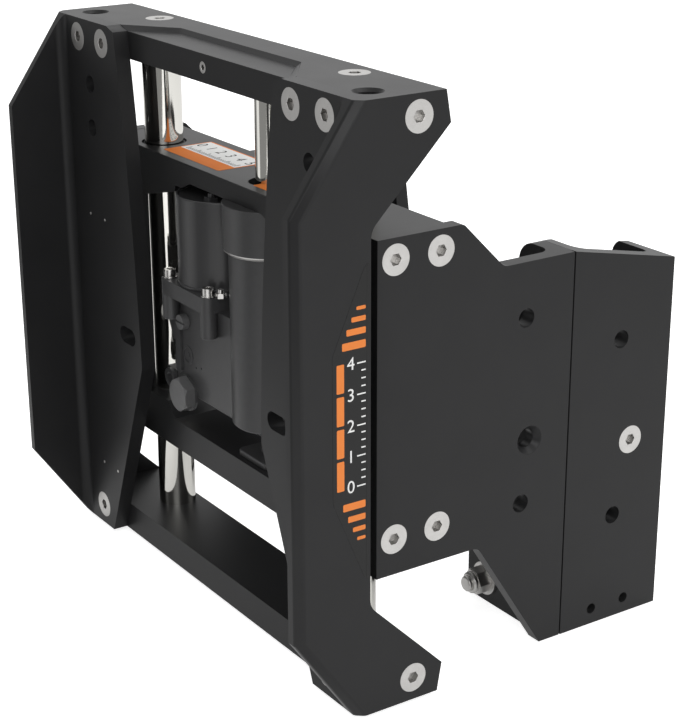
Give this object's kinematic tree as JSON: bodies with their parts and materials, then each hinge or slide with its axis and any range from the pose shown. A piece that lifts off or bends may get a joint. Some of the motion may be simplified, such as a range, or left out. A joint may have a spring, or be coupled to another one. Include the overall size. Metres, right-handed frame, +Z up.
{
  "type": "hydraulic jack plate",
  "caption": "Hydraulic jack plate: a slotted outboard-motor frame that a central ram slides up and down two guide rods, on channel extensions that bolt to a transom.",
  "frame": {"origin": "on the transom face, midway between the two upper transom bolts", "axes": "+X to starboard, +Y forward into the transom, +Z up; the engine side faces -Y"},
  "size_m": [0.442, 0.3548, 0.4521],
  "materials": {
    "black_anodised": "satin black anodised plate",
    "hard_chrome": "ground and polished",
    "stainless": "bright stainless",
    "bush_polymer": "machined bearing polymer",
    "wiper_rubber": "moulded",
    "motor_paint": "satin black paint",
    "terminal_plastic": "moulded",
    "cast_paint": "satin dark grey paint",
    "bare_steel": "ground"
  },
  "bodies": {
    "carriage": {"bleed_screw": "stainless", "clevis_pin": "stainless", "cross_tie": "black_anodised", "joint_bolts": "stainless", "joint_nuts": "stainless", "joint_washers": "stainless", "lower_block": "black_anodised", "lower_bushes": "bush_polymer", "lower_wipers": "wiper_rubber", "motor_can": "motor_paint", "motor_terminals": "terminal_plastic", "plate_screws": "stainless", "port_extension": "black_anodised", "port_plug": "cast_paint", "port_side_plate": "black_anodised", "pump_bolts": "stainless", "pump_housing": "cast_paint", "ram_foot": "cast_paint", "ram_head": "cast_paint", "ram_tube": "cast_paint", "ram_wiper": "wiper_rubber", "release_screw": "cast_paint", "starboard_extension": "black_anodised", "starboard_side_plate": "black_anodised", "tie_screws": "stainless", "upper_block": "black_anodised", "upper_bushes": "bush_polymer", "upper_wipers": "wiper_rubber"},
    "lifting_frame": {"starboard_side_member": "black_anodised", "port_side_member": "black_anodised", "top_beam": "black_anodised", "bottom_beam": "black_anodised", "beam_plug": "stainless", "starboard_guide_rod": "hard_chrome", "port_guide_rod": "hard_chrome", "rod_screws_top": "stainless", "rod_screws_bottom": "stainless", "flange_screws_top": "stainless", "flange_screws_bottom": "stainless", "beam_end_screws": "stainless", "locating_pins": "stainless", "ram_rod": "hard_chrome", "ram_piston": "bare_steel"}
  },
  "joints": [
    {"name": "lift", "type": "slide", "parent": "carriage", "child": "lifting_frame", "axis": [0, 0, 1], "range_m": [-0.067, 0.06]}
  ]
}
